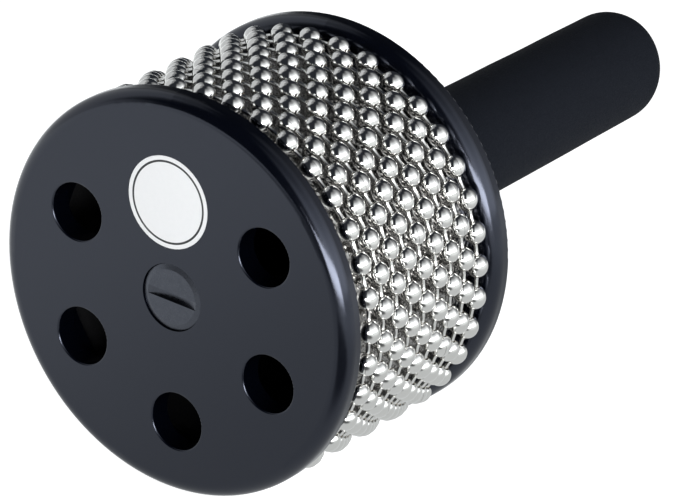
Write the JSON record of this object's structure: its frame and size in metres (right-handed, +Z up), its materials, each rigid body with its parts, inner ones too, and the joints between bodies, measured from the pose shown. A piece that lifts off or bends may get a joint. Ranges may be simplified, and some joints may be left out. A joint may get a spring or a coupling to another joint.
{
  "type": "cabasa",
  "caption": "Hand-held cabasa: a hollow drum between two round plates, wrapped in loops of ball chain that turn, on a foam-covered handle.",
  "frame": {"origin": "level with the lowest balls of the hanging loops, under the middle of the whole length", "axes": "+Z up; +Y along the drum's axis from the drilled front plate to the end of the handle; the drum's axis is level, 57.85 mm above z = 0; +X to the right when looking at the front plate"},
  "size_m": [0.1144, 0.2206, 0.115],
  "materials": {
    "plate_black": "satin",
    "label_white": "satin",
    "core_black": "matte",
    "drum_steel": "satin",
    "bolt_steel": "satin",
    "insert_brass": "satin",
    "handle_plastic": "matte",
    "grip_foam": "matte",
    "chain_nickel": "polished"
  },
  "bodies": {
    "root": {"front_plate": "plate_black", "rear_plate": "plate_black", "front_label": "label_white", "drum_core": "core_black", "drum_shell": "drum_steel", "centre_bolt": "bolt_steel", "bolt_washer": "bolt_steel", "threaded_insert": "insert_brass", "handle_core": "handle_plastic", "foam_grip": "grip_foam"},
    "chain_1": {"chain_1_balls": "chain_nickel", "chain_1_links": "chain_nickel"},
    "chain_2": {"chain_2_balls": "chain_nickel", "chain_2_links": "chain_nickel"},
    "chain_3": {"chain_3_balls": "chain_nickel", "chain_3_links": "chain_nickel"},
    "chain_4": {"chain_4_balls": "chain_nickel", "chain_4_links": "chain_nickel"},
    "chain_5": {"chain_5_balls": "chain_nickel", "chain_5_links": "chain_nickel"},
    "chain_6": {"chain_6_balls": "chain_nickel", "chain_6_links": "chain_nickel"},
    "chain_7": {"chain_7_balls": "chain_nickel", "chain_7_links": "chain_nickel"},
    "chain_8": {"chain_8_balls": "chain_nickel", "chain_8_links": "chain_nickel"},
    "chain_9": {"chain_9_balls": "chain_nickel", "chain_9_links": "chain_nickel"}
  },
  "joints": [
    {"name": "chain_1_turn", "type": "hinge", "parent": "root", "child": "chain_1", "pos_m": [0, 0, 0.0572], "axis": [0, 1, 0], "continuous": true},
    {"name": "chain_2_turn", "type": "hinge", "parent": "root", "child": "chain_2", "pos_m": [0, 0, 0.0572], "axis": [0, 1, 0], "continuous": true},
    {"name": "chain_3_turn", "type": "hinge", "parent": "root", "child": "chain_3", "pos_m": [0, 0, 0.0572], "axis": [0, 1, 0], "continuous": true},
    {"name": "chain_4_turn", "type": "hinge", "parent": "root", "child": "chain_4", "pos_m": [0, 0, 0.0572], "axis": [0, 1, 0], "continuous": true},
    {"name": "chain_5_turn", "type": "hinge", "parent": "root", "child": "chain_5", "pos_m": [0, 0, 0.0572], "axis": [0, 1, 0], "continuous": true},
    {"name": "chain_6_turn", "type": "hinge", "parent": "root", "child": "chain_6", "pos_m": [0, 0, 0.0572], "axis": [0, 1, 0], "continuous": true},
    {"name": "chain_7_turn", "type": "hinge", "parent": "root", "child": "chain_7", "pos_m": [0, 0, 0.0572], "axis": [0, 1, 0], "continuous": true},
    {"name": "chain_8_turn", "type": "hinge", "parent": "root", "child": "chain_8", "pos_m": [0, 0, 0.0572], "axis": [0, 1, 0], "continuous": true},
    {"name": "chain_9_turn", "type": "hinge", "parent": "root", "child": "chain_9", "pos_m": [0, 0, 0.0572], "axis": [0, 1, 0], "continuous": true}
  ]
}
